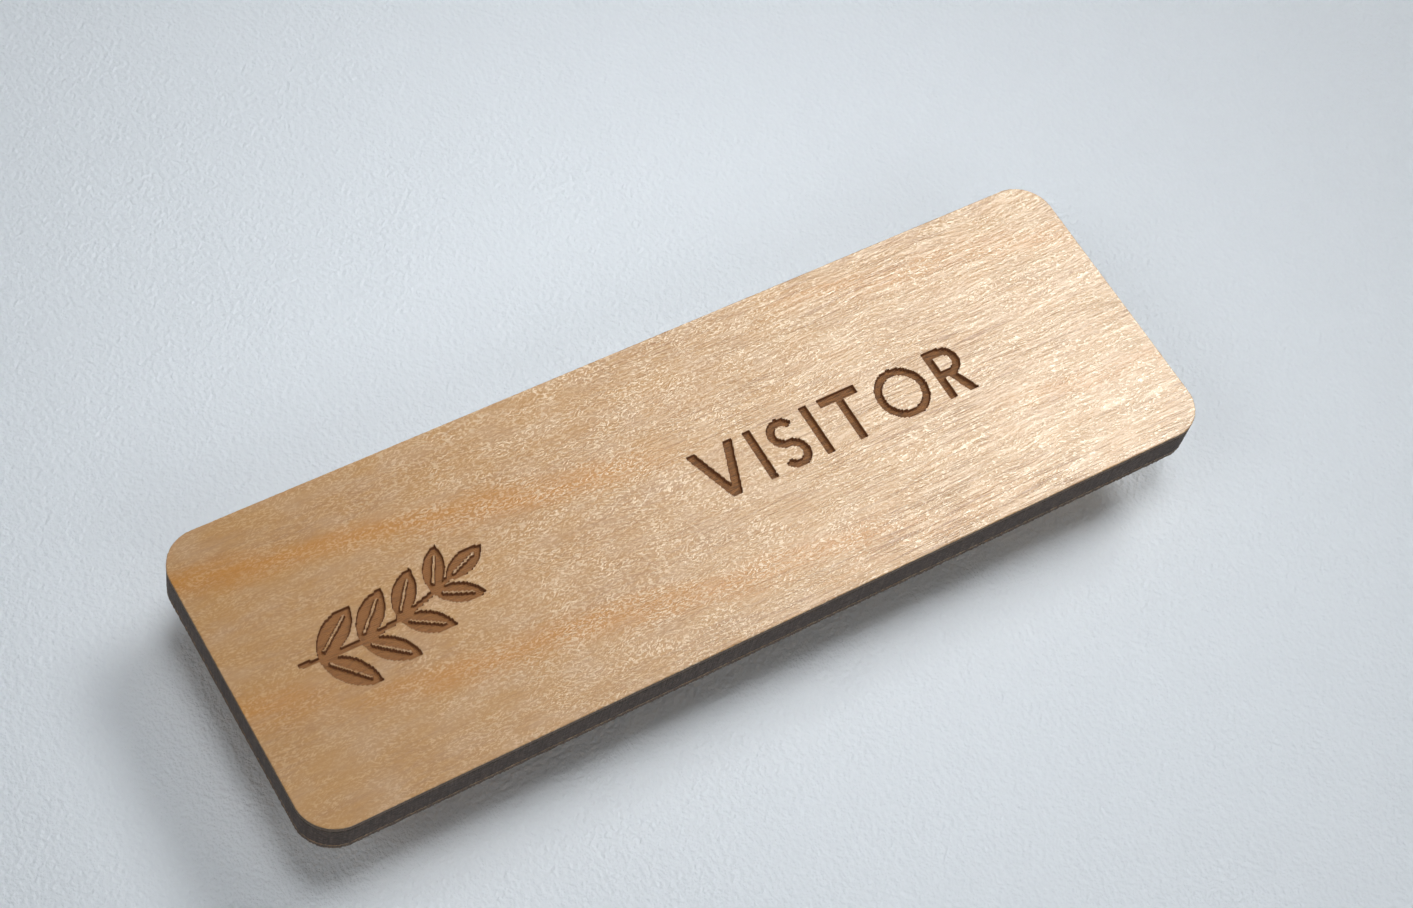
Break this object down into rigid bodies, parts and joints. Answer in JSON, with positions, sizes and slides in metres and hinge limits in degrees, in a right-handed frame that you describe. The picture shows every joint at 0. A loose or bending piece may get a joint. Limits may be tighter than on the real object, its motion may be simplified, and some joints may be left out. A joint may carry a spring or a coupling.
{
  "type": "wooden name badge",
  "caption": "Small veneered wooden name badge with a laser-engraved leaf sprig and word, held on by a magnetic clasp that pulls off its back.",
  "frame": {"origin": "centre of the underside of the magnet carrier, which is what the badge stands on when it lies face up", "axes": "+X along the word, +Y up the word, +Z out of the engraved face"},
  "size_m": [0.076, 0.025, 0.0099],
  "materials": {
    "face_veneer": "oiled, satin",
    "core_board": "laser-charred edge, matte",
    "back_veneer": "sanded, matte",
    "foam_tape": "closed-cell foam, matte",
    "nickel_plate": "bright nickel plate",
    "black_plastic": "moulded, fine matte texture"
  },
  "bodies": {
    "backing": {"magnet_carrier": "black_plastic", "left_magnet": "nickel_plate", "centre_magnet": "nickel_plate", "right_magnet": "nickel_plate"},
    "badge_front": {"face_veneer": "face_veneer", "core_board": "core_board", "back_veneer": "back_veneer", "foam_tape": "foam_tape", "steel_bar": "nickel_plate"}
  },
  "joints": [
    {"name": "front_lift", "type": "slide", "parent": "backing", "child": "badge_front", "axis": [0, 0, 1], "range_m": [0, 0.02]}
  ]
}
